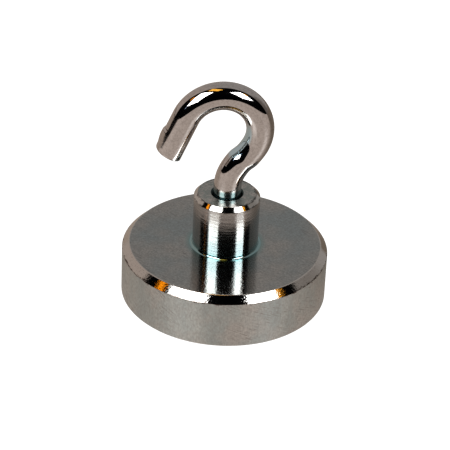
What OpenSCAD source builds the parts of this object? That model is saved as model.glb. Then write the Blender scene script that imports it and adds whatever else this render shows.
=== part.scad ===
// Single-sided fishing magnet: a plated steel pot with a neodymium disc set in its mouth,
// a tapped boss riveted through the pot's floor and an open hook screwed into the boss.
// Millimetres. The origin is the centre of the working face, which lies on z = 0, and the
// boss points up. The hook lies in the XZ plane with its point towards -X.

/* [Pot] */
// Outside diameter of the pot
pot_d = 60; // [54:1:75]
// Height of the pot from its working face to its top
pot_h = 16.3; // [15:0.1:22]
// 45-degree chamfer round the pot's top
pot_chamfer = 2; // [0.5:0.1:3]
// 45-degree chamfer round the outer edge of the pot's mouth
rim_chamfer = 0.4; // [0.2:0.1:0.8]
// Thickness of the pot's wall
wall_t = 4; // [3:0.5:6]
// Thickness of the pot's floor, which closes the magnetic circuit behind the magnet
floor_t = 6; // [5:0.5:7]

/* [Magnet] */
// Width of the ring of resin between the magnet and the wall
gap_w = 2; // [1:0.25:3]
// How far the magnet lies back from the working face
magnet_recess = 0.2; // [0.1:0.1:0.4]
// How far the resin lies back from the working face
resin_recess = 0.5; // [0.5:0.1:1]
// 45-degree chamfer of the magnet's edges
magnet_chamfer = 0.3; // [0.1:0.1:0.6]
// Thickness of the adhesive film behind the magnet
glue_t = 0.2; // [0.1:0.05:0.3]

/* [Boss] */
// Diameter of the boss
boss_d = 19.2; // [16:0.2:24]
// Height of the boss above the pot's top
boss_h = 16.8; // [16.8:0.2:22]
// 45-degree chamfer round the boss's top
boss_chamfer = 1.15; // [0.5:0.05:1.5]
// Radius of the fillet at the boss's foot
foot_fillet = 0.8; // [0.4:0.1:1.2]
// Diameter of the spigot that passes through the pot's floor
spigot_d = 12; // [10:0.5:14]
// Width of the riveted flare at the spigot's end
flare_w = 1; // [0.5:0.1:1.5]
// Diameter of the countersink at the mouth of the tapped hole
mouth_d = 9.4; // [9:0.1:10]

/* [Thread] */
// Nominal diameter of the thread, which is the diameter of the hook's rod too
thread_d = 8; // [7:0.5:8]
// Pitch of the thread
pitch = 1.25; // [1:0.05:1.25]
// Number of thread turns in the tapped hole
hole_turns = 11; // [10:1:11]
// Number of thread turns on the hook's shank
shank_turns = 9; // [6:1:9]
// Radial clearance between the two threads
thread_gap = 0.08; // [0.04:0.01:0.1]
// Height of the shank's run-out cone above the countersink
seat_gap = 0.3; // [0.2:0.05:0.6]

/* [Hook] */
// Height of the straight shank above the boss's top
shank_h = 2.2; // [1.5:0.1:5]
// Centreline radius of the bend above the shank
neck_r = 11.5; // [9:0.5:14]
// Angle of the bend above the shank
neck_angle = 41; // [35:1:50]
// Straight length between the neck and the loop
neck_l = 4.7; // [3:0.1:8]
// Centreline radius of the loop
loop_r = 11.1; // [10:0.1:14]
// Angle that the loop turns through
loop_angle = 198; // [180:1:205]
// Straight length of the leg that ends in the point
leg_l = 12.4; // [6:0.1:13]
// 45-degree chamfer round the cut end of the leg
tip_chamfer = 0.7; // [0.3:0.1:1.2]

/* [Hidden] */
$fn = 96;

pot_r = pot_d / 2;
cavity_r = pot_r - wall_t;
cavity_h = pot_h - floor_t;
magnet_r = cavity_r - gap_w;
magnet_top = cavity_h - glue_t;

boss_r = boss_d / 2;
boss_top = pot_h + boss_h;
spigot_r = spigot_d / 2;
mouth_r = mouth_d / 2;

// ISO basic profile: flanks at 30 degrees, crests an eighth of the pitch wide.
thread_r = thread_d / 2;
core_r = thread_r - 5 / 16 * pitch / tan(30);
// The 90-degree countersink meets the thread's core here.
hole_top = boss_top - (mouth_r - core_r);
hole_bottom = hole_top - hole_turns * pitch;
// The twist drill leaves a 118-degree cone at the bottom of the hole.
drill_cone = core_r / tan(59);

rod_r = thread_d / 2;
shank_core_r = core_r - thread_gap;
shank_crest_r = thread_r - thread_gap;
shank_end = hole_top - shank_turns * pitch;
run_out = hole_top + seat_gap;
shank_top = boss_top + shank_h;

// The bends are this much fuller than the straight rod, whose ends run into them.
bend_swell = 0.01;
lap = 0.05;

// Thread of the given number of turns that ends at hole_top, as a list of outline points.
// Each turn is a closed ring, so the hook can turn without a helix's rise.
function thread_outline(turns, core, crest) = [
    for (i = [turns:-1:1])
        let (z = hole_top - i * pitch)
            each [
                [core, z + pitch / 8],
                [crest, z + pitch * 7 / 16],
                [crest, z + pitch * 9 / 16],
                [core, z + pitch * 7 / 8]
            ]
];

// Straight rod up from the origin, which runs a little way into the bend at each end.
module straight(length) {
    translate([0, 0, -lap]) cylinder(h = length + 2 * lap, r = rod_r);
}

// Rod bent from +Z towards +X.
module bend_right(radius, angle) {
    translate([radius, 0, 0])
        rotate([90, 0, 0])
            rotate([0, 0, 180 - angle])
                rotate_extrude(angle = angle)
                    translate([radius, 0]) circle(r = rod_r + bend_swell);
}

// Rod bent from +Z towards -X.
module bend_left(radius, angle) {
    translate([-radius, 0, 0])
        rotate([90, 0, 0])
            rotate_extrude(angle = angle)
                translate([radius, 0]) circle(r = rod_r + bend_swell);
}

// Places its children at the far end of a bend. Both values are negative for a left bend.
module past_bend(radius, angle) {
    translate([radius * (1 - cos(angle)), 0, radius * sin(angle)])
        rotate([0, angle, 0])
            children();
}

// Turned steel cup. Its floor has a hole that is countersunk from the inside.
module pot() {
    color([0.62, 0.61, 0.58])
        rotate_extrude()
            polygon([
                [cavity_r, 0],
                [pot_r - rim_chamfer, 0],
                [pot_r, rim_chamfer],
                [pot_r, pot_h - pot_chamfer],
                [pot_r - pot_chamfer, pot_h],
                [spigot_r, pot_h],
                [spigot_r, cavity_h + flare_w],
                [spigot_r + flare_w, cavity_h],
                [cavity_r, cavity_h]
            ]);
}

// Turned steel bush with a blind tapped hole. Its spigot fills the hole in the pot's
// floor and is riveted over into the countersink.
module boss() {
    color([0.66, 0.66, 0.65])
        difference() {
            union() {
                rotate_extrude()
                    polygon([
                        [0, cavity_h],
                        [spigot_r + flare_w, cavity_h],
                        [spigot_r, cavity_h + flare_w],
                        [spigot_r, pot_h],
                        [boss_r, pot_h],
                        [boss_r, boss_top - boss_chamfer],
                        [boss_r - boss_chamfer, boss_top],
                        [0, boss_top]
                    ]);
                foot_ring();
            }
            tapped_hole();
        }
}

// Concave fillet between the boss's side and the pot's top.
module foot_ring() {
    rotate_extrude()
        difference() {
            translate([boss_r - foot_fillet, pot_h]) square([2 * foot_fillet, foot_fillet]);
            translate([boss_r + foot_fillet, pot_h + foot_fillet]) circle(r = foot_fillet);
        }
}

// Space inside the boss: drill point, thread and countersink. It runs on above the boss.
module tapped_hole() {
    rotate_extrude()
        polygon(concat(
            [[0, hole_bottom - drill_cone], [core_r, hole_bottom]],
            thread_outline(hole_turns, core_r, thread_r),
            [[core_r, hole_top], [mouth_r, boss_top], [mouth_r, boss_top + 1], [0, boss_top + 1]]
        ));
}

// Nickel-plated neodymium disc.
module magnet() {
    c = magnet_chamfer;
    color([0.74, 0.73, 0.70])
        rotate_extrude()
            polygon([
                [0, magnet_recess],
                [magnet_r - c, magnet_recess],
                [magnet_r, magnet_recess + c],
                [magnet_r, magnet_top - c],
                [magnet_r - c, magnet_top],
                [0, magnet_top]
            ]);
}

// Potting resin that centres the magnet and keeps its flux away from the wall.
module gap_ring() {
    color([0.16, 0.16, 0.17])
        rotate_extrude()
            polygon([
                [magnet_r, resin_recess],
                [cavity_r, resin_recess],
                [cavity_r, cavity_h],
                [magnet_r, cavity_h]
            ]);
}

// Film of adhesive between the magnet and the pot's floor.
module adhesive() {
    color([0.75, 0.70, 0.50])
        translate([0, 0, magnet_top]) cylinder(h = glue_t, r = magnet_r);
}

// Cold-bent steel rod with a threaded shank.
module hook() {
    color([0.70, 0.68, 0.66]) {
        shank();
        translate([0, 0, shank_top]) {
            bend_right(neck_r, neck_angle);
            past_bend(neck_r, neck_angle) {
                straight(neck_l);
                translate([0, 0, neck_l]) {
                    bend_left(loop_r, loop_angle);
                    past_bend(-loop_r, -loop_angle) leg();
                }
            }
        }
    }
}

// Thread, the cone where it runs out, and the plain rod up to the neck.
module shank() {
    rotate_extrude()
        polygon(concat(
            [[0, shank_end], [shank_core_r, shank_end]],
            thread_outline(shank_turns, shank_core_r, shank_crest_r),
            [
                [shank_core_r, run_out],
                [rod_r, run_out + rod_r - shank_core_r],
                [rod_r, shank_top + lap],
                [0, shank_top + lap]
            ]
        ));
}

// Straight end of the hook, cut square and chamfered.
module leg() {
    rotate_extrude()
        polygon([
            [0, -lap],
            [rod_r, -lap],
            [rod_r, leg_l - tip_chamfer],
            [rod_r - tip_chamfer, leg_l],
            [0, leg_l]
        ]);
}

pot();
boss();
magnet();
gap_ring();
adhesive();
hook();
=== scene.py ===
"""Looks of the single-sided fishing magnet: detailed pieces, plated-metal materials and studio.

Sizes are in millimetres until a mesh, lamp, camera or node is made. The frame is the CAD's: the
origin is the centre of the working face, and +Z runs up the boss.
"""

import math

import bpy
from mathutils import Matrix, Vector


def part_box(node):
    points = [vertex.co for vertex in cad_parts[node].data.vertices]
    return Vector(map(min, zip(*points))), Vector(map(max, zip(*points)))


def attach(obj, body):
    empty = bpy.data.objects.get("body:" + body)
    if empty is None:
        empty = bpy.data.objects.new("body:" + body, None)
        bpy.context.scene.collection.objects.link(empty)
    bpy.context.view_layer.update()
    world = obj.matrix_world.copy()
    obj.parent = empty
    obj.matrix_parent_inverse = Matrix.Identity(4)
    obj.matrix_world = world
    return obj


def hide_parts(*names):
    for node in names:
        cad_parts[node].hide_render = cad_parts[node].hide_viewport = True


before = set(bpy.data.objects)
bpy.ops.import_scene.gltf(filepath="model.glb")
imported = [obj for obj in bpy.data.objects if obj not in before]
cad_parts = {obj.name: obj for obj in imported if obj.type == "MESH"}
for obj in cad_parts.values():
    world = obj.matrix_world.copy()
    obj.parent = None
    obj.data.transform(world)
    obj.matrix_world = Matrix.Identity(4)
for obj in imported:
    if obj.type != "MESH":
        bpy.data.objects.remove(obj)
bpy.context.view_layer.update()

MM = 0.001

# ---------------------------------------------------------------- sizes, in millimetres

POT_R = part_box("pot")[1].x / MM
POT_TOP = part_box("pot")[1].z / MM
POT_CHAMFER = 2.0
RIM_CHAMFER = 0.4
# The turned top starts this far inside its chamfer, past the rounded edge.
TOP_INSET = 0.25
CAVITY_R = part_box("gap_ring")[1].x / MM
CAVITY_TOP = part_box("gap_ring")[1].z / MM
RESIN_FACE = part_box("gap_ring")[0].z / MM
RESIN_SAG = 0.25
MAGNET_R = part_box("magnet")[1].x / MM
MAGNET_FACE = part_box("magnet")[0].z / MM
MAGNET_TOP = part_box("magnet")[1].z / MM
MAGNET_CHAMFER = 0.3

FOOT_FILLET = 0.8
# The fillet's corner lies this far above the pot's top, so that the two share no plane.
FOOT_LIFT = 0.01
BOSS_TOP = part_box("boss")[1].z / MM
BOSS_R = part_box("boss")[1].x / MM - FOOT_FILLET
BOSS_CHAMFER = 1.15
# Ridge that the facing tool left along the edge of the boss's top.
RIDGE_W = 0.16
RIDGE_H = 0.07
SPIGOT_R = 6.0
FLARE_W = 1.0
MOUTH_R = 4.7

# ISO thread: flanks at 30 degrees, crests an eighth of the pitch wide.
ROD_R = 4.0
PITCH = 1.25
HOLE_TURNS = 11
SHANK_TURNS = 9
THREAD_GAP = 0.08
SEAT_GAP = 0.3
SHANK_CHAMFER = 0.12
CORE_R = ROD_R - 5 / 16 * PITCH / math.tan(math.radians(30))
HOLE_TOP = BOSS_TOP - (MOUTH_R - CORE_R)
HOLE_BOTTOM = HOLE_TOP - HOLE_TURNS * PITCH
DRILL_POINT = math.radians(118)
DRILL_CONE = CORE_R / math.tan(DRILL_POINT / 2)

SHANK_L = 2.2
SHANK_TOP = BOSS_TOP + SHANK_L
NECK_R = 11.5
NECK_ANGLE = math.radians(41)
NECK_L = 4.7
LOOP_R = 11.1
LOOP_ANGLE = math.radians(198)
LEG_L = 12.4

# ---------------------------------------------------------------- view

CAMERA_AZIMUTH = -7.7
CAMERA_ELEVATION = 32.2
CAMERA_ROLL = 2.6
CAMERA_DISTANCE = 0.635
TARGET = Vector((0, 0, 0.0183))
# The picture's centre lies this far above and to the left of the target.
AIM_UP = 3.17 * MM
AIM_LEFT = 0.22 * MM
CAMERA_LENS = 174.4472
SENSOR_WIDTH = 36
CLIP_NEAR = 0.05
CLIP_FAR = 20


def direction(azimuth, elevation):
    """Unit vector towards a place on the sky. Azimuth 0 is -Y, and 90 is +X."""
    a, e = math.radians(azimuth), math.radians(elevation)
    return Vector((math.sin(a) * math.cos(e), -math.cos(a) * math.cos(e), math.sin(e)))


def facing(location, target, roll):
    """Matrix of a camera or lamp at location that looks at target."""
    turn = (target - location).to_track_quat("-Z", "Y").to_matrix().to_4x4()
    return Matrix.Translation(location) @ turn @ Matrix.Rotation(math.radians(roll), 4, "Z")


def add_camera():
    """Camera that looks down at the magnet from the front."""
    data = bpy.data.cameras.new("camera")
    camera = bpy.data.objects.new("camera", data)
    bpy.context.scene.collection.objects.link(camera)
    back = direction(CAMERA_AZIMUTH, CAMERA_ELEVATION)
    right = Vector((0, 0, 1)).cross(back).normalized()
    location = TARGET + back * CAMERA_DISTANCE
    aim = TARGET + back.cross(right) * AIM_UP - right * AIM_LEFT
    camera.matrix_world = facing(location, aim, CAMERA_ROLL)
    data.sensor_width = SENSOR_WIDTH
    data.lens = CAMERA_LENS
    data.clip_start = CLIP_NEAR
    data.clip_end = CLIP_FAR
    bpy.context.scene.camera = camera


add_camera()

# ---------------------------------------------------------------- node tools

# Places of the colour sockets of a Mix node.
MIX_LOW, MIX_HIGH, MIX_RESULT = 6, 7, 2


class Tree:
    """Node tree of a material, lamp or world. Every value is a constant or a node's output."""

    def __init__(self, owner):
        owner.use_nodes = True
        self.tree = owner.node_tree
        self.tree.nodes.clear()

    def feed(self, socket, value):
        """Links or sets a socket. A constant colour is red, green and blue."""
        if isinstance(value, bpy.types.NodeSocket):
            self.tree.links.new(value, socket)
        elif socket.type == "RGBA":
            socket.default_value = (*value, 1)
        else:
            socket.default_value = value

    def add(self, kind, settings=None, **sockets):
        """New node. A keyword names an input, with _ for a space."""
        node = self.tree.nodes.new("ShaderNode" + kind)
        for name, value in (settings or {}).items():
            setattr(node, name, value)
        for name, value in sockets.items():
            self.feed(node.inputs[name.replace("_", " ")], value)
        return node

    def finish(self, kind, shader):
        """Links the last shader to an output node."""
        self.feed(self.add(kind).inputs["Surface"], shader.outputs[0])

    def math(self, operation, *values):
        """Output of a Math node."""
        node = self.add("Math", {"operation": operation})
        for socket, value in zip(node.inputs, values):
            self.feed(socket, value)
        return node.outputs[0]

    def dot(self, vector, fixed):
        """Dot product of a vector output with a fixed vector."""
        node = self.add("VectorMath", {"operation": "DOT_PRODUCT"})
        self.feed(node.inputs[0], vector)
        self.feed(node.inputs[1], fixed)
        return node.outputs["Value"]

    def ranged(self, value, low, high, new_low, new_high, smooth=False):
        """Value mapped from low..high to new_low..new_high, and clamped."""
        kind = "SMOOTHSTEP" if smooth else "LINEAR"
        node = self.add("MapRange", {"interpolation_type": kind}, Value=value,
                        From_Min=low, From_Max=high, To_Min=new_low, To_Max=new_high)
        return node.outputs[0]

    def where_low(self, value, low, high, most=1, smooth=False):
        """Share that falls from most, where the value is below low, to 0 above high."""
        return self.ranged(value, low, high, most, 0, smooth)

    def where_high(self, value, low, high, most=1, smooth=False):
        """Share that rises from 0, where the value is below low, to most above high."""
        return self.ranged(value, low, high, 0, most, smooth)

    def blended(self, share, low, high):
        """Colour between low, where the share is 0, and high, where it is 1."""
        node = self.add("Mix", {"data_type": "RGBA"})
        self.feed(node.inputs[0], share)
        self.feed(node.inputs[MIX_LOW], low)
        self.feed(node.inputs[MIX_HIGH], high)
        return node.outputs[MIX_RESULT]

    def noise(self, place, scale, detail, roughness):
        """3-D noise, 0..1, that changes about scale times a metre."""
        node = self.add("TexNoise", Vector=place, Scale=scale, Detail=detail, Roughness=roughness)
        return node.outputs["Fac"]

    def lines(self, place, scale, detail, roughness):
        """Noise, 0..1, that varies along one coordinate only."""
        node = self.add("TexNoise", {"noise_dimensions": "1D"},
                        W=place, Scale=scale, Detail=detail, Roughness=roughness)
        return node.outputs["Fac"]


class Surface(Tree):
    """Principled material, with the coordinates, relief and wear that the pieces share."""

    def __init__(self, name, metallic=1.0):
        self.material = bpy.data.materials.new(name)
        super().__init__(self.material)
        self.shader = self.add("BsdfPrincipled", Metallic=metallic)
        self.finish("OutputMaterial", self.shader)
        self.place = self.add("TexCoord").outputs["Object"]
        self.x, self.y, self.z = self.add("SeparateXYZ", Vector=self.place).outputs

    def set(self, name, value):
        self.feed(self.shader.inputs[name], value)

    def radius(self):
        """Distance from the boss's axis, in metres."""
        squares = [self.math("MULTIPLY", part, part) for part in (self.x, self.y)]
        return self.math("SQRT", self.math("ADD", *squares))

    def stretched(self, x, y, z):
        """Place with each axis scaled."""
        return self.add("Mapping", Vector=self.place, Scale=(x, y, z)).outputs[0]

    def unrolled(self, radius):
        """Place on a round side, laid out flat. The radius is in millimetres."""
        azimuth = self.math("ARCTAN2", self.y, self.x)
        way_round = self.math("MULTIPLY", azimuth, radius * MM)
        return self.add("CombineXYZ", X=way_round, Y=self.z).outputs[0]

    def rough(self, pattern, low, high, spread=0.2):
        """Roughness from low to high, as a noise goes from spread below a half to spread above."""
        self.set("Roughness", self.ranged(pattern, 0.5 - spread, 0.5 + spread, low, high))

    def bump(self, height, depth):
        """Adds relief to what is there already. The depth is in millimetres."""
        node = self.add("Bump", Height=height, Distance=depth * MM, Strength=1.0)
        normal = self.shader.inputs["Normal"]
        if normal.is_linked:
            self.feed(node.inputs["Normal"], normal.links[0].from_socket)
        self.feed(normal, node.outputs[0])

    def turned(self, amount):
        """Stretches the gloss across grooves that run round the boss's axis."""
        node = self.add("Tangent", {"direction_type": "RADIAL", "axis": "Z"})
        self.set("Tangent", node.outputs[0])
        self.set("Anisotropic", amount)
        self.set("Anisotropic Rotation", 0.25)

    def painted_edge_shade(self, place, edge, width=0.5):
        """Share of a ragged dark line along an edge, which is painted shade.

        The place is a height or radius in metres. The edge and width are in millimetres.
        """
        ragged = self.noise(self.stretched(420, 420, 1800), 1, 4, 0.75)
        reach = self.ranged(ragged, 0.45, 0.7, 0.04 * MM, width * MM)
        dark = self.ranged(ragged, 0.42, 0.62, 0.3, 0.9)
        away = self.math("ABSOLUTE", self.math("SUBTRACT", place, edge * MM))
        return self.math("MULTIPLY", self.math("LESS_THAN", away, reach), dark)

    def scuffed(self, flat, slant, along, across=3000):
        """Share of fine slanting scratches on a flat place.

        The slant is in radians. Along and across are how often a metre they change.
        """
        slanted = self.add("Mapping", Vector=flat, Rotation=(0, 0, slant)).outputs[0]
        streaks = self.add("Mapping", Vector=slanted, Scale=(along, across, 0)).outputs[0]
        cuts = self.where_high(self.noise(streaks, 1, 2, 0.7), 0.57, 0.66)
        worn = self.where_high(self.noise(self.place, 75, 2, 0.5), 0.46, 0.6)
        return self.math("MULTIPLY", cuts, worn)


# ---------------------------------------------------------------- materials


def zinc_top():
    """Turned and zinc-plated top of the pot, with painted bluish shade close to the boss."""
    bluish = (0.42, 0.475, 0.487)
    warm = (0.54, 0.53, 0.508)
    pit = (0.27, 0.28, 0.28)
    scratch = (0.28, 0.285, 0.285)
    # Painted shade: darker and bluer where the top meets the boss.
    painted_shade_by_boss = (0.30, 0.42, 0.42)
    # Painted shade: the dark line along the edges.
    edge_shade = (0.10, 0.09, 0.085)
    s = Surface("zinc_top")
    radius = s.radius()
    cloud = s.noise(s.place, 150, 5, 0.7)
    drift = s.noise(s.place, 62, 3, 0.55)
    grain = s.noise(s.place, 1700, 2, 0.6)
    # Share of the painted shade, full at the boss and gone a few millimetres out.
    boss_shade_share = s.where_low(radius, (BOSS_R + 0.2) * MM, (BOSS_R + 2.9) * MM, smooth=True)
    colour = s.blended(s.where_high(drift, 0.36, 0.62), bluish, warm)
    colour = s.blended(s.where_low(grain, 0.3, 0.7, 0.6), colour, pit)
    colour = s.blended(s.scuffed(s.place, 0.9, 130), colour, scratch)
    colour = s.blended(boss_shade_share, colour, painted_shade_by_boss)
    colour = s.blended(s.painted_edge_shade(radius, POT_R - POT_CHAMFER), colour, edge_shade)
    s.set("Base Color", colour)
    s.rough(cloud, 0.11, 0.15, spread=0.15)
    s.bump(s.lines(radius, 2600, 4, 0.7), 0.0015)
    s.bump(grain, 0.014)
    s.turned(0.85)
    return s.material


def zinc_chamfer():
    """Bright turned chamfer of the pot, with fine chatter."""
    grey = (0.60, 0.58, 0.555)
    bright = (0.70, 0.68, 0.655)
    speck = (0.2, 0.19, 0.18)
    # Painted shade: the dark line along the edges.
    edge_shade = (0.07, 0.045, 0.035)
    s = Surface("zinc_chamfer")
    grain = s.noise(s.place, 2300, 2, 0.5)
    specks = s.noise(s.place, 2600, 1, 0.5)
    colour = s.blended(grain, grey, bright)
    colour = s.blended(s.where_low(specks, 0.27, 0.36, 0.6), colour, speck)
    colour = s.blended(s.painted_edge_shade(s.z, POT_TOP - POT_CHAMFER), colour, edge_shade)
    s.set("Base Color", colour)
    s.rough(grain, 0.03, 0.07)
    s.bump(grain, 0.018)
    s.bump(s.lines(s.z, 2500, 3, 0.6), 0.002)
    return s.material


def zinc_wall():
    """Satin side of the pot, streaked along the axis and scratched at a slant."""
    bluish = (0.48, 0.545, 0.55)
    pale = (0.64, 0.68, 0.665)
    warm = (0.65, 0.63, 0.605)
    pit = (0.36, 0.365, 0.36)
    scratch = (0.31, 0.295, 0.285)
    # Painted shade: the dark line along the edges.
    edge_shade = (0.09, 0.06, 0.05)
    s = Surface("zinc_wall")
    streaks = s.noise(s.stretched(260, 260, 40), 1, 4, 0.65)
    patches = s.noise(s.place, 110, 3, 0.6)
    grain = s.noise(s.stretched(2000, 2000, 1200), 1, 2, 0.6)
    colour = s.blended(s.where_high(streaks, 0.3, 0.7), bluish, pale)
    colour = s.blended(s.where_high(patches, 0.45, 0.65, 0.7), colour, warm)
    colour = s.blended(s.where_low(grain, 0.3, 0.7, 0.62), colour, pit)
    colour = s.blended(s.scuffed(s.unrolled(POT_R), 0.45, 210), colour, scratch)
    colour = s.blended(s.painted_edge_shade(s.z, POT_TOP - POT_CHAMFER), colour, edge_shade)
    s.set("Base Color", colour)
    s.rough(streaks, 0.34, 0.42)
    s.bump(grain, 0.009)
    return s.material


def zinc_boss():
    """Bright turned side of the boss, duller and warmer towards its top; painted bluish shade
    darkens it towards its foot.
    """
    warm_dark = (0.44, 0.43, 0.42)
    warm_pale = (0.50, 0.485, 0.475)
    # Painted shade: the darker, bluer colour low on the boss.
    bluish = (0.30, 0.352, 0.358)
    # Painted shade: the dark line along the edges.
    edge_shade = (0.10, 0.085, 0.075)
    s = Surface("zinc_boss")
    rings = s.lines(s.z, 1500, 2, 0.6)
    scratches = s.noise(s.stretched(140, 140, 1700), 1, 2, 0.6)
    cloud = s.noise(s.place, 150, 3, 0.6)
    # Share of the painted shade, full at the boss's foot and gone near its top.
    low = s.where_low(s.z, (POT_TOP + 2) * MM, (POT_TOP + 13) * MM, smooth=True)
    dull = s.where_high(s.z, (POT_TOP + 10) * MM, (POT_TOP + 13.5) * MM, 0.07, smooth=True)
    colour = s.blended(cloud, warm_dark, warm_pale)
    colour = s.blended(low, colour, bluish)
    colour = s.blended(s.painted_edge_shade(s.z, BOSS_TOP - BOSS_CHAMFER, 0.6), colour, edge_shade)
    s.set("Base Color", colour)
    s.set("Roughness", s.math("ADD", s.ranged(rings, 0.3, 0.7, 0.09, 0.13), dull))
    s.bump(rings, 0.01)
    s.bump(scratches, 0.045)
    s.turned(0.95)
    return s.material


def zinc_edge():
    """Bright chamfer of the boss, and the fillet at its foot, which painted bluish shade darkens.
    """
    grey = (0.58, 0.575, 0.555)
    bright = (0.68, 0.67, 0.65)
    # Painted shade: the darker, bluer colour of the fillet in the corner.
    bluish = (0.35, 0.51, 0.53)
    # Painted shade: the dark line along the edges.
    edge_shade = (0.08, 0.08, 0.08)
    s = Surface("zinc_edge")
    grain = s.noise(s.place, 1800, 2, 0.5)
    # The fillet, below this height, takes the painted shade.
    foot = s.math("LESS_THAN", s.z, (POT_TOP + 2) * MM)
    upper = s.painted_edge_shade(s.z, BOSS_TOP, 0.6)
    lower = s.painted_edge_shade(s.z, BOSS_TOP - BOSS_CHAMFER)
    colour = s.blended(grain, grey, bright)
    colour = s.blended(foot, colour, bluish)
    colour = s.blended(s.math("MAXIMUM", upper, lower), colour, edge_shade)
    s.set("Base Color", colour)
    s.rough(grain, 0.05, 0.1)
    s.bump(grain, 0.006)
    return s.material


def zinc_face():
    """Faced top of the boss."""
    bluish = (0.40, 0.45, 0.435)
    warm = (0.60, 0.59, 0.57)
    pit = (0.25, 0.26, 0.25)
    # Painted shade: the dark line along the edges.
    edge_shade = (0.08, 0.08, 0.08)
    s = Surface("zinc_face")
    cloud = s.noise(s.place, 420, 3, 0.65)
    grain = s.noise(s.place, 2200, 2, 0.6)
    colour = s.blended(s.where_high(cloud, 0.4, 0.6), bluish, warm)
    colour = s.blended(s.where_low(grain, 0.3, 0.6, 0.7), colour, pit)
    colour = s.blended(s.painted_edge_shade(s.radius(), BOSS_R - BOSS_CHAMFER, 0.9), colour, edge_shade)
    s.set("Base Color", colour)
    s.rough(cloud, 0.29, 0.38, spread=0.15)
    s.bump(grain, 0.003)
    s.turned(0.5)
    return s.material


def zinc_bore():
    """Tapped hole and its countersink, painted dark as the shade of the recess."""
    s = Surface("zinc_bore")
    cloud = s.noise(s.place, 700, 3, 0.6)
    # Painted shade: the dark colour of the hole.
    s.set("Base Color", s.blended(cloud, (0.05, 0.075, 0.08), (0.14, 0.18, 0.18)))
    s.rough(cloud, 0.22, 0.4)
    s.bump(cloud, 0.01)
    return s.material


def zinc_inside():
    """Cavity of the pot and underside of the boss."""
    s = Surface("zinc_inside")
    cloud = s.noise(s.place, 500, 3, 0.6)
    s.set("Base Color", s.blended(cloud, (0.42, 0.42, 0.40), (0.55, 0.55, 0.52)))
    s.rough(cloud, 0.35, 0.5)
    s.bump(s.lines(s.radius(), 3000, 3, 0.6), 0.004)
    return s.material


def zinc_rim():
    """Ground working face of the pot."""
    s = Surface("zinc_rim")
    lay = s.noise(s.stretched(900, 60, 60), 1, 3, 0.6)
    s.set("Base Color", s.blended(lay, (0.55, 0.55, 0.53), (0.68, 0.67, 0.64)))
    s.rough(lay, 0.2, 0.32)
    s.bump(lay, 0.003)
    return s.material


def hook_steel():
    """Drawn, bent and bright-plated rod, with a painted blue reflection inside the loop and
    painted bluish shade close to the boss.
    """
    grey = (0.60, 0.576, 0.566)
    bright = (0.69, 0.664, 0.648)
    draw_mark = (0.36, 0.335, 0.325)
    speck = (0.40, 0.375, 0.365)
    # Painted reflection: the blue that the inside of the loop mirrors.
    blue = (0.60, 0.78, 0.87)
    # Painted shade: darker and bluer where the rod comes out of the boss.
    painted_shade_by_boss = (0.26, 0.34, 0.35)
    s = Surface("hook_steel")
    cloud = s.noise(s.place, 220, 3, 0.6)
    grain = s.noise(s.place, 1300, 3, 0.6)
    specks = s.noise(s.place, 1500, 2, 0.7)
    lengthwise = s.add("Attribute", {"attribute_name": "lengthwise"}).outputs["Vector"]
    drawn = s.noise(lengthwise, 7, 2, 0.5)
    # Share of the painted blue reflection, which the mesh carries.
    painted_reflection_tint = s.add("Attribute", {"attribute_name": "painted_reflection_tint"}).outputs["Fac"]
    # Share of the painted shade, which darkens the rod just above the boss.
    low = s.where_low(s.z, (BOSS_TOP + 1.6) * MM, (BOSS_TOP + 2.6) * MM, smooth=True)
    colour = s.blended(cloud, grey, bright)
    colour = s.blended(s.where_low(drawn, 0.3, 0.45, 0.3), colour, draw_mark)
    colour = s.blended(s.where_low(specks, 0.36, 0.56, 0.48), colour, speck)
    colour = s.blended(painted_reflection_tint, colour, blue)
    colour = s.blended(low, colour, painted_shade_by_boss)
    s.set("Base Color", colour)
    s.rough(grain, 0.05, 0.08)
    s.bump(drawn, 0.0015)
    return s.material


def nickel():
    """Nickel plating of the magnet."""
    s = Surface("nickel")
    cloud = s.noise(s.place, 160, 3, 0.6)
    grain = s.noise(s.place, 2200, 2, 0.5)
    s.set("Base Color", s.blended(cloud, (0.62, 0.585, 0.53), (0.70, 0.665, 0.61)))
    s.rough(cloud, 0.2, 0.3)
    s.bump(grain, 0.004)
    return s.material


def resin():
    """Cast black epoxy with small pits."""
    s = Surface("resin", metallic=0.0)
    cloud = s.noise(s.place, 300, 3, 0.6)
    pits = s.noise(s.place, 1500, 2, 0.5)
    s.set("Base Color", s.blended(cloud, (0.018, 0.018, 0.02), (0.04, 0.04, 0.042)))
    s.rough(cloud, 0.3, 0.5)
    s.bump(s.where_high(pits, 0.25, 0.4), 0.05)
    return s.material


def glue():
    """Cured adhesive film."""
    s = Surface("glue", metallic=0.0)
    cloud = s.noise(s.place, 400, 3, 0.6)
    s.set("Base Color", s.blended(cloud, (0.42, 0.36, 0.20), (0.55, 0.48, 0.30)))
    s.rough(cloud, 0.35, 0.5)
    s.bump(cloud, 0.02)
    return s.material


# ---------------------------------------------------------------- mesh tools

SEGMENTS = 256
ARC_STEP = math.radians(9)
# A point closer to the axis than this is on it.
ON_AXIS = 1e-6


def ring_angles(count):
    """Angles of the points of a ring, in radians."""
    return [2 * math.pi * j / count for j in range(count)]


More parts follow.
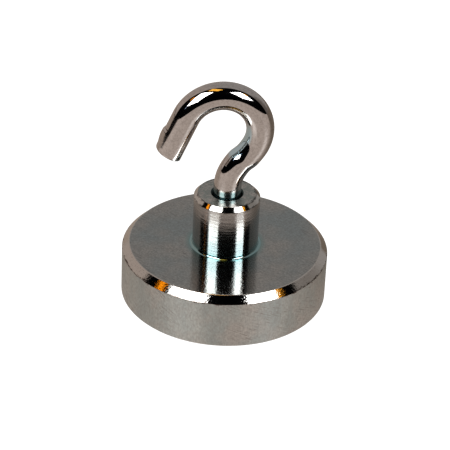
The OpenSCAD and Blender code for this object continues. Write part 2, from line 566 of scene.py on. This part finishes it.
def stations(corners):
    """Points round a lathe outline, each (point, normal before, normal after, zone after).

    A corner is (r, z, rounding, zone); its zone holds from its rounding to the next corner.
    The outline runs counterclockwise, seen with r to the right and z up.
    """
    found = []
    points = [Vector(corner[:2]) for corner in corners]
    for i, (_, _, rounding, zone) in enumerate(corners):
        here = points[i]
        way_in = (here - points[i - 1]).normalized()
        way_out = (points[(i + 1) % len(points)] - here).normalized()
        turn = math.atan2(way_in.cross(way_out), way_in.dot(way_out))
        normal = Vector((way_in.y, -way_in.x))
        if rounding == 0:
            found.append((here, normal, Vector((way_out.y, -way_out.x)), zone))
            continue
        side = math.copysign(rounding, turn)
        start = here - way_in * rounding * math.tan(abs(turn) / 2)
        centre = start - normal * side
        steps = max(3, math.ceil(abs(turn) / ARC_STEP))
        for step in range(steps + 1):
            leaning = normal.copy()
            leaning.rotate(Matrix.Rotation(turn * step / steps, 2))
            found.append((centre + leaning * side, leaning, leaning, zone))
    return found


def lathe(name, corners, materials):
    """Solid of revolution with exact normals. A zone is a place in the list of materials."""
    found = stations(corners)
    angles = ring_angles(SEGMENTS)
    on_axis = [point.x < ON_AXIS for point, *_ in found]
    vertices, firsts = [], []
    for (point, *_), single in zip(found, on_axis):
        firsts.append(len(vertices))
        radius, height = point.x * MM, point.y * MM
        if single:
            vertices.append((0, 0, height))
        else:
            vertices += [(radius * math.cos(a), radius * math.sin(a), height) for a in angles]
    faces, normals, zones = [], [], []
    for i, (_, _, low_normal, zone) in enumerate(found):
        k = (i + 1) % len(found)
        high_normal = found[k][1]
        if on_axis[i] and on_axis[k]:
            continue
        for j in range(SEGMENTS):
            after = (j + 1) % SEGMENTS
            # Corners of the face: station, place round it, and normal of the outline there.
            face = [(i, j, low_normal), (i, after, low_normal),
                    (k, after, high_normal), (k, j, high_normal)]
            if on_axis[i]:
                del face[1]
            elif on_axis[k]:
                del face[2]
            faces.append([firsts[s] if on_axis[s] else firsts[s] + n for s, n, _ in face])
            normals += [(v.x * math.cos(angles[n]), v.x * math.sin(angles[n]), v.y)
                        for _, n, v in face]
            zones.append(zone)
    return mesh_object(name, vertices, faces, materials, zones, normals)


def mesh_object(name, vertices, faces, materials, zones, normals=None):
    """Smooth object in the scene. A face's zone is the place of its material."""
    mesh = bpy.data.meshes.new(name)
    mesh.from_pydata(vertices, [], faces)
    for material in materials:
        mesh.materials.append(material)
    mesh.polygons.foreach_set("material_index", zones)
    mesh.shade_smooth()
    if normals:
        mesh.normals_split_custom_set(normals)
    piece = bpy.data.objects.new(name, mesh)
    bpy.context.scene.collection.objects.link(piece)
    return piece


def thread(turns, core, crest, zone):
    """Corners of closed rings of ISO thread below the countersink, from the lowest up."""
    corners = []
    for i in range(turns, 0, -1):
        z = HOLE_TOP - i * PITCH
        corners += [
            (core, z + PITCH / 8, 0, zone),
            (crest, z + PITCH * 7 / 16, 0, zone),
            (crest, z + PITCH * 9 / 16, 0, zone),
            (core, z + PITCH * 7 / 8, 0, zone),
        ]
    return corners


def finish_piece(piece, body, node):
    """Hangs the piece on its body's empty, and hides the CAD node that it stands for."""
    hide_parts(node)
    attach(piece, body)


# ---------------------------------------------------------------- turned pieces


def make_pot():
    """Turned cup, with the hole for the boss's spigot in its floor."""
    wall, chamfer, top, inside, rim = range(5)
    corners = [
        (CAVITY_R, 0, 0.12, rim),
        (POT_R - RIM_CHAMFER, 0, 0.06, rim),
        (POT_R, RIM_CHAMFER, 0.1, wall),
        (POT_R, POT_TOP - POT_CHAMFER, 0.16, chamfer),
        (POT_R - POT_CHAMFER, POT_TOP, 0.45, chamfer),
        (POT_R - POT_CHAMFER - TOP_INSET, POT_TOP, 0, top),
        (SPIGOT_R, POT_TOP, 0, inside),
        (SPIGOT_R, CAVITY_TOP + FLARE_W, 0, inside),
        (SPIGOT_R + FLARE_W, CAVITY_TOP, 0, inside),
        (CAVITY_R, CAVITY_TOP, 0.4, inside),
    ]
    materials = [zinc_wall(), zinc_chamfer(), zinc_top(), zinc_inside(), zinc_rim()]
    finish_piece(lathe("pot_shell", corners, materials), "magnet_body", "pot")


def make_boss():
    """Turned bush, with its foot, riveted spigot and tapped hole."""
    side, edge, face, bore, inside = range(5)
    face_r = BOSS_R - BOSS_CHAMFER
    corners = [
        (0, CAVITY_TOP, 0, inside),
        (SPIGOT_R + FLARE_W, CAVITY_TOP, 0, inside),
        (SPIGOT_R, CAVITY_TOP + FLARE_W, 0, inside),
        (SPIGOT_R, POT_TOP, 0, inside),
        (BOSS_R + FOOT_FILLET, POT_TOP, 0, edge),
        (BOSS_R, POT_TOP + FOOT_LIFT, FOOT_FILLET * 0.95, edge),
        (BOSS_R, POT_TOP + FOOT_FILLET, 0, side),
        (BOSS_R, BOSS_TOP - BOSS_CHAMFER, 0.12, edge),
        (face_r, BOSS_TOP, 0.1, edge),
        (face_r - RIDGE_W, BOSS_TOP, 0.04, face),
        (face_r - 2 * RIDGE_W, BOSS_TOP - RIDGE_H, 0.04, face),
        (face_r - 3 * RIDGE_W, BOSS_TOP - RIDGE_H / 3, 0, face),
        (MOUTH_R, BOSS_TOP, 0.12, bore),
        (CORE_R, HOLE_TOP, 0, bore),
        *reversed(thread(HOLE_TURNS, CORE_R, ROD_R, bore)),
        (CORE_R, HOLE_BOTTOM, 0, bore),
        (0, HOLE_BOTTOM - DRILL_CONE, 0, bore),
    ]
    materials = [zinc_boss(), zinc_edge(), zinc_face(), zinc_bore(), zinc_inside()]
    finish_piece(lathe("boss_bush", corners, materials), "magnet_body", "boss")


def make_magnet():
    """Disc with softened chamfers."""
    c = MAGNET_CHAMFER
    corners = [
        (0, MAGNET_FACE, 0, 0),
        (MAGNET_R - c, MAGNET_FACE, c * 0.6, 0),
        (MAGNET_R, MAGNET_FACE + c, c * 0.6, 0),
        (MAGNET_R, MAGNET_TOP - c, c * 0.6, 0),
        (MAGNET_R - c, MAGNET_TOP, c * 0.6, 0),
        (0, MAGNET_TOP, 0, 0),
    ]
    piece = lathe("magnet_disc", corners, [nickel()])
    finish_piece(piece, "magnet_body", "magnet")


def make_gap_ring():
    """Ring of resin, whose face sags back between the magnet and the wall."""
    middle = (MAGNET_R + CAVITY_R) / 2
    corners = [
        (MAGNET_R, RESIN_FACE, 0, 0),
        (middle, RESIN_FACE + RESIN_SAG, 2.6, 0),
        (CAVITY_R, RESIN_FACE, 0, 0),
        (CAVITY_R, CAVITY_TOP, 0, 0),
        (MAGNET_R, CAVITY_TOP, 0, 0),
    ]
    finish_piece(lathe("resin_ring", corners, [resin()]), "magnet_body", "gap_ring")


def make_adhesive():
    """Film between the magnet and the pot's floor."""
    corners = [
        (0, MAGNET_TOP, 0, 0),
        (MAGNET_R, MAGNET_TOP, 0.05, 0),
        (MAGNET_R, CAVITY_TOP, 0.05, 0),
        (0, CAVITY_TOP, 0, 0),
    ]
    finish_piece(lathe("glue_film", corners, [glue()]), "magnet_body", "adhesive")


# ---------------------------------------------------------------- hook

ROD_SIDES = 128
ROD_STEP = 0.2
ROD_ANGLES = ring_angles(ROD_SIDES)
# A bend sharper than this, in degrees, shows as an edge: the thread's flanks and the cut end.
SHARP_ANGLE = 28
# A millimetre along the rod counts as this share of its radius in the drawing marks.
DRAWN_STRETCH = 0.03
# The cut end is rolled over on the loop's outside and square, and a little longer, inside.
TIP_ROLL_OUTSIDE = 1.0
TIP_ROLL_INSIDE = 0.1
TIP_SLANT = 0.05
TIP_STEPS = 8
# Nub on the outside of the leg: its height, and how far from the cut it ends and starts.
NUB_H = 0.45
NUB_END, NUB_LOW, NUB_HIGH, NUB_START = 1.2, 5.0, 6.2, 7.8
NUB_ANGLE = math.radians(15)
NUB_WIDTH = math.radians(24)
# The rod strays to one side before this way along it, and to the other after it. At most it
# gets 0.43 of SWAY off its course.
SWAY = 0.38
SWAY_WAY = 10.4
SWAY_L = 2.0
# The painted blue reflection inside the loop is full from this way along the rod. It rises
# just before it, and fades between two ways past it.
TINT_START = NECK_R * NECK_ANGLE + NECK_L * 0.3
TINT_RISE = 2
TINT_FADE = (12, 18)
# The tint's edge lies between these cosines of the angle from the middle of the inner side.
TINT_EDGE = (0.62, 0.8)


def walk(start, lean, length, bend):
    """Place and lean after a way along the rod. Bend is in radians per millimetre, + to +X."""
    end = lean + bend * length
    if bend == 0:
        return start + Vector((math.sin(lean), math.cos(lean))) * length, end
    step = Vector((math.cos(lean) - math.cos(end), math.sin(end) - math.sin(lean))) / bend
    return start + step, end


def rod_stretches():
    """Each stretch of the rod above the shank: start, lean, way so far, length and bend."""
    found = []
    place, lean, way = Vector((0, SHANK_TOP)), 0.0, 0.0
    for length, bend in ((NECK_R * NECK_ANGLE, 1 / NECK_R), (NECK_L, 0),
                         (LOOP_R * LOOP_ANGLE, -1 / LOOP_R), (LEG_L, 0)):
        found.append((place, lean, way, length, bend))
        place, lean = walk(place, lean, length, bend)
        way += length
    return found


STRETCHES = rod_stretches()
LEG = STRETCHES[-1]
ROD_LENGTH = sum(length for *_, length, _ in STRETCHES)


def eased(value, low, high):
    """0 at low and 1 at high, with level ends."""
    x = min(max((value - low) / (high - low), 0), 1)
    return x * x * (3 - 2 * x)


def nub(left, angle):
    """Height above the plain rod, by the way left to the cut and the angle round the rod."""
    ridge = eased(left, NUB_END, NUB_LOW) * (1 - eased(left, NUB_HIGH, NUB_START))
    away = (angle - NUB_ANGLE + math.pi) % (2 * math.pi) - math.pi
    return NUB_H * ridge * math.exp(-(away / NUB_WIDTH) ** 2)


def sway(way):
    """How far the rod's middle lies off its plain course, towards the lower side of the neck."""
    x = (way - SWAY_WAY) / SWAY_L
    return SWAY * x * math.exp(-x * x)


def tint(way, angle):
    """Share of the painted blue reflection, which lies inside the loop on the neck's side."""
    limb = eased(way, TINT_START - TINT_RISE, TINT_START)
    limb *= 1 - eased(way, *(TINT_START + fade for fade in TINT_FADE))
    return limb * eased(-math.cos(angle), *TINT_EDGE)


def rod_point(place, lean, radius, angle, aside=0.0):
    """Point in metres on the rod's skin. Angle 0 is on the outside of the loop."""
    side = Vector((math.cos(lean), 0, -math.sin(lean)))
    out = side * math.cos(angle) + Vector((0, math.sin(angle), 0))
    return (Vector((place.x, 0, place.y)) + side * aside + out * radius) * MM


def shank_rings():
    """Rings of the threaded shank, from its end up."""
    core, crest = CORE_R - THREAD_GAP, ROD_R - THREAD_GAP
    end = HOLE_TOP - SHANK_TURNS * PITCH
    run_out = HOLE_TOP + SEAT_GAP
    outline = [
        (core - SHANK_CHAMFER, end),
        (core, end + SHANK_CHAMFER),
        *((r, z) for r, z, _, _ in thread(SHANK_TURNS, core, crest, 0)),
        (core, run_out),
        (ROD_R, run_out + ROD_R - core),
        (ROD_R, SHANK_TOP),
    ]
    return [[rod_point(Vector((0, z)), 0, r, a) for a in ROD_ANGLES] for r, z in outline]


def bent_rings():
    """Rings of the bent rod up to its rolled end, and how far along the rod each one is."""
    rings, ways = [], []
    for stretch in STRETCHES:
        place, lean, start, length, bend = stretch
        plain = length - 2 * TIP_ROLL_OUTSIDE if stretch is LEG else length
        steps = math.ceil(plain / ROD_STEP)
        for i in range(1, steps + 1):
            run = plain * i / steps
            way = start + run
            here, leaning = walk(place, lean, run, bend)
            rings.append([
                rod_point(here, leaning, ROD_R + nub(ROD_LENGTH - way, a), a, sway(way))
                for a in ROD_ANGLES
            ])
            ways.append(way)
    return rings, ways


def tip_rings():
    """Rings of the leg's end, from where its roll starts to the cut."""
    place, lean, *_ = LEG
    rings = []
    for step in range(TIP_STEPS + 1):
        turn = math.pi / 2 * step / TIP_STEPS
        ring = []
        for a in ROD_ANGLES:
            outside = (1 + math.cos(a)) / 2
            roll = TIP_ROLL_INSIDE + (TIP_ROLL_OUTSIDE - TIP_ROLL_INSIDE) * outside
            end = LEG_L - TIP_SLANT * (ROD_R - roll) * math.cos(a)
            here, _ = walk(place, lean, end - roll * (1 - math.sin(turn)), 0)
            ring.append(rod_point(here, lean, ROD_R - roll * (1 - math.cos(turn)), a))
        rings.append(ring)
    return rings


def tube_faces(count):
    """Faces of a closed tube of this many rings, with a flat end at each side."""
    faces = [tuple(reversed(range(ROD_SIDES)))]
    for i in range(count - 1):
        low, high = i * ROD_SIDES, (i + 1) * ROD_SIDES
        for j in range(ROD_SIDES):
            k = (j + 1) % ROD_SIDES
            faces.append((low + j, low + k, high + k, high + j))
    faces.append(tuple(range((count - 1) * ROD_SIDES, count * ROD_SIDES)))
    return faces


def make_hook():
    """Bent rod with its thread, nub and rolled end, and the attributes that its looks read."""
    shank, tip = shank_rings(), tip_rings()
    bent, bent_ways = bent_rings()
    rings = shank + bent + tip
    ways = [0.0] * len(shank) + bent_ways + [ROD_LENGTH] * len(tip)
    vertices = [vertex for ring in rings for vertex in ring]
    faces = tube_faces(len(rings))
    piece = mesh_object("hook_rod", vertices, faces, [hook_steel()], [0] * len(faces))
    mesh = piece.data
    mesh.set_sharp_from_angle(angle=math.radians(SHARP_ANGLE))
    # Painted reflection: how much of the blue each point of the rod takes.
    painted_reflection_tint = mesh.attributes.new("painted_reflection_tint", "FLOAT", "POINT")
    painted_reflection_tint.data.foreach_set("value", [tint(way, a) for way in ways for a in ROD_ANGLES])
    lengthwise = mesh.attributes.new("lengthwise", "FLOAT_VECTOR", "POINT")
    places = [(math.cos(a), math.sin(a), way * DRAWN_STRETCH) for way in ways for a in ROD_ANGLES]
    lengthwise.data.foreach_set("vector", [part for place in places for part in place])
    finish_piece(piece, "hook_body", "hook")


make_pot()
make_boss()
make_magnet()
make_gap_ring()
make_adhesive()
make_hook()

# ---------------------------------------------------------------- studio

LAMP_DISTANCE = 1.0
# Azimuth from the camera's side, elevation, roll, half-angles across and up, and radiance.
LAMPS = {
    "softbox_left": (-47.4, 46, 8, 15.9, 19, (6.6, 6.6, 6.5)),
    "softbox_right": (52.9, 41, 0, 11.3, 15, (6.2, 6.25, 6.3)),
    # Small warm lights beside and above the softboxes.
    "warm_left": (-79.2, 42, 0, 2.8, 4.5, (1.35, 0.45, 0.01)),
    "warm_right": (73.0, 45, 0, 3.8, 3.5, (1.1, 0.5, 0.04)),
    "warm_top": (-40, 79, 0, 12, 6, (1.4, 0.75, 0.12)),
    # Bluish stand below the left softbox.
    "stand_left": (-58, 24, 0, 1.5, 5, (0.4, 0.5, 0.65)),
}
# Share of the left softbox's width over which it dims, and how dim its side gets.
DIM_SHARE = 0.2
DIM_LEAST = 0.05

WHITE = (1, 1, 1)
# The dark part of the room.
DARK = (0.0012, 0.0012, 0.0016)
# The lit backdrop beyond the magnet, from left to right.
BACKDROP_LEFT = (0.42, 0.36, 0.325)
BACKDROP_MIDDLE = (0.335, 0.315, 0.302)
BACKDROP_RIGHT = (0.17, 0.15, 0.135)
# Azimuth of the middle of the dark part, from the camera's side.
DARK_AZIMUTH = -3

FLOOR_HALF = 2.5
# The lit part of the table ends this far to the left and to the front, in metres.
TABLE_LEFT = 1.15
TABLE_FRONT = 1.3
# Glow of the table, which is painted light, behind the magnet and in front of it, at its left and
# right.
BEHIND_LEFT = (0.36, 0.30, 0.255)
BEHIND_RIGHT = (0.18, 0.148, 0.12)
FRONT_LEFT = (0.55, 0.48, 0.435)
FRONT_RIGHT = (0.49, 0.425, 0.383)
TABLE_GLOSS = (0.055, 0.055, 0.055)
TABLE_ROUGHNESS = 0.3


def add_lamp(name, azimuth, elevation, roll, half_width, half_height, radiance):
    """Rectangular lamp that the polished metal mirrors."""
    data = bpy.data.lights.new(name, "AREA")
    lamp = bpy.data.objects.new(name, data)
    bpy.context.scene.collection.objects.link(lamp)
    location = TARGET + direction(CAMERA_AZIMUTH + azimuth, elevation) * LAMP_DISTANCE
    lamp.matrix_world = facing(location, TARGET, roll)
    data.shape = "RECTANGLE"
    data.size = 2 * LAMP_DISTANCE * math.tan(math.radians(half_width))
    data.size_y = 2 * LAMP_DISTANCE * math.tan(math.radians(half_height))
    # With this power the lamp's radiance is its colour.
    data.energy = math.pi * data.size * data.size_y
    data.color = radiance
    lamp.visible_camera = False


def dim_side(lamp):
    """Dims a lamp towards its left side, so that its reflection has a soft edge there."""
    t = Tree(lamp)
    place = t.add("NewGeometry").outputs["Parametric"]
    across = t.add("SeparateXYZ", Vector=place).outputs[0]
    strength = t.ranged(across, 0, DIM_SHARE, DIM_LEAST, 1, smooth=True)
    t.finish("OutputLight", t.add("Emission", Strength=strength))


def add_world():
    """White for the camera. Mirrored, it is dark in front and a lit backdrop beyond."""
    world = bpy.data.worlds.new("studio")
    bpy.context.scene.world = world
    t = Tree(world)
    sky = t.add("TexCoord").outputs["Generated"]
    frontward = t.dot(sky, direction(CAMERA_AZIMUTH + DARK_AZIMUTH, 0))
    right = t.dot(sky, direction(CAMERA_AZIMUTH + 90, 0))
    backdrop = t.blended(t.where_high(right, -0.7, 0.0), BACKDROP_LEFT, BACKDROP_MIDDLE)
    backdrop = t.blended(t.where_high(right, 0.75, 0.93), backdrop, BACKDROP_RIGHT)
    mirrored = t.blended(t.where_low(frontward, -0.12, -0.045, smooth=True), DARK, backdrop)
    seen = t.add("LightPath").outputs["Is Camera Ray"]
    t.finish("OutputWorld", t.add("Background", Color=t.blended(seen, mirrored, WHITE)))


def floor_paint():
    """White for the camera. Mirrored, it glows as a lit taupe table in a dark room, which is
    painted light.
    """
    material = bpy.data.materials.new("floor")
    t = Tree(material)
    place = t.add("TexCoord").outputs["Object"]
    frontward = t.dot(place, direction(CAMERA_AZIMUTH, 0))
    right = t.dot(place, direction(CAMERA_AZIMUTH + 90, 0))
    behind = t.blended(t.where_high(right, -0.06, 0.06), BEHIND_LEFT, BEHIND_RIGHT)
    front = t.blended(t.where_high(right, -0.35, -0.06), FRONT_LEFT, FRONT_RIGHT)
    table = t.blended(t.where_high(frontward, -0.03, 0.04, smooth=True), behind, front)
    on_table = t.math("MULTIPLY", t.math("GREATER_THAN", right, -TABLE_LEFT),
                      t.math("LESS_THAN", frontward, TABLE_FRONT))
    glow = t.add("Emission", Color=t.blended(on_table, DARK, table))
    gloss = t.add("BsdfGlossy", Color=TABLE_GLOSS, Roughness=TABLE_ROUGHNESS)
    mirrored = t.add("AddShader")
    t.feed(mirrored.inputs[0], glow.outputs[0])
    t.feed(mirrored.inputs[1], gloss.outputs[0])
    seen = t.add("LightPath").outputs["Is Camera Ray"]
    mix = t.add("MixShader", Fac=seen)
    t.feed(mix.inputs[1], mirrored.outputs[0])
    t.feed(mix.inputs[2], t.add("Emission", Color=WHITE).outputs[0])
    t.finish("OutputMaterial", mix)
    return material


def add_floor():
    """Square floor, which is far wider than the table that is painted on it."""
    corners = [(-FLOOR_HALF, -FLOOR_HALF, 0), (FLOOR_HALF, -FLOOR_HALF, 0),
               (FLOOR_HALF, FLOOR_HALF, 0), (-FLOOR_HALF, FLOOR_HALF, 0)]
    floor = mesh_object("floor", corners, [(0, 1, 2, 3)], [floor_paint()], [0])


for name, values in LAMPS.items():
    add_lamp(name, *values)
dim_side(bpy.data.lights["softbox_left"])
add_world()
add_floor()
bpy.context.scene.view_settings.view_transform = "Standard"
bpy.context.scene.view_settings.look = "Medium High Contrast"
